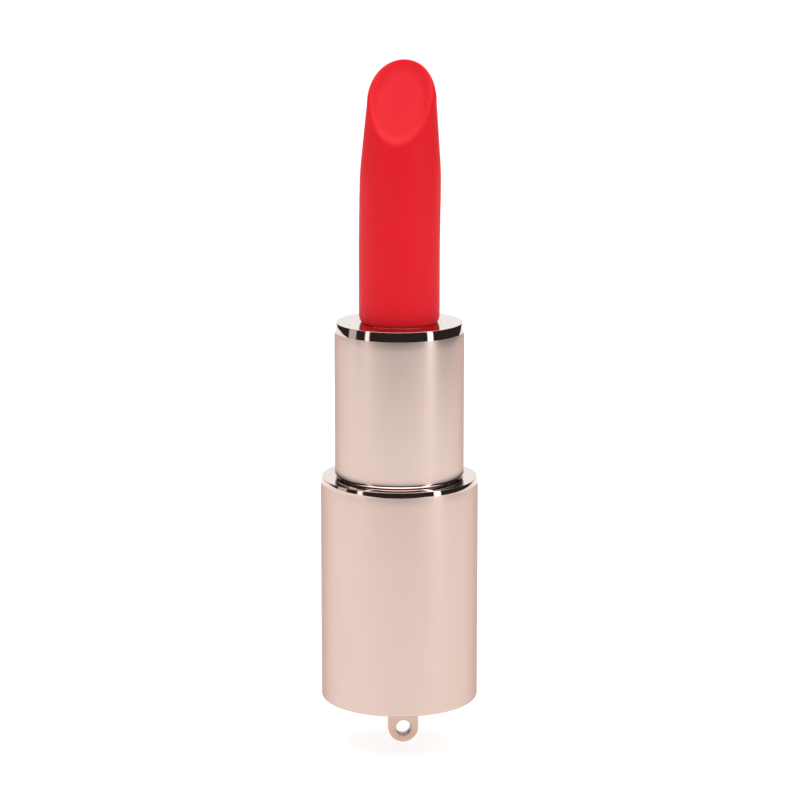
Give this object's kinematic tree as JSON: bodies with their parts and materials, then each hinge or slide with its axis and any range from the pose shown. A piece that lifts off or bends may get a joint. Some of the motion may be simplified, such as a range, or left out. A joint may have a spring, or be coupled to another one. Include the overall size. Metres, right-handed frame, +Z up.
{
  "type": "lipstick case",
  "caption": "Swivel-up lipstick case: satin metal base with a hanging loop, a turning sleeve, and a dished bullet that rises and sinks as the sleeve turns.",
  "frame": {"origin": "on the case's long axis, level with the lowest point of the hanging loop", "axes": "+Z up the case's long axis towards the bullet's tip, -Y towards the front, where the bullet's dished face looks"},
  "size_m": [0.0236, 0.0236, 0.1038],
  "materials": {
    "satin_metal": "satin champagne anodised",
    "polished_metal": "polished champagne anodised",
    "loop_metal": "satin rose plated",
    "weight_steel": "plain turned",
    "liner_plastic": "moulded",
    "guide_plastic": "moulded, slightly waxy",
    "ring_rubber": "soft",
    "bullet_red": "matte red"
  },
  "bodies": {
    "base": {"base_shell": "satin_metal", "base_collar": "polished_metal", "base_liner": "liner_plastic", "base_weight": "weight_steel", "hanging_loop": "loop_metal", "loop_washer": "weight_steel", "guide_tube": "guide_plastic", "thrust_washer": "weight_steel", "friction_ring": "ring_rubber"},
    "sleeve": {"sleeve_tube": "satin_metal", "sleeve_cap": "polished_metal", "spiral_cam": "guide_plastic", "retaining_ring": "weight_steel"},
    "carrier": {"lift_cup": "guide_plastic", "cup_rim": "polished_metal", "bullet": "bullet_red"}
  },
  "joints": [
    {"name": "sleeve_turn", "type": "hinge", "parent": "base", "child": "sleeve", "pos_m": [0, 0, 0.04165], "axis": [0, 0, 1], "range_deg": [0, 540]},
    {"name": "bullet_lift", "type": "slide", "parent": "base", "child": "carrier", "axis": [0, 0, 1], "range_m": [-0.0395, 0]}
  ],
  "couplings": [
    {"joint": "bullet_lift", "follows": "sleeve_turn", "m_per_rad": -0.0041911}
  ]
}
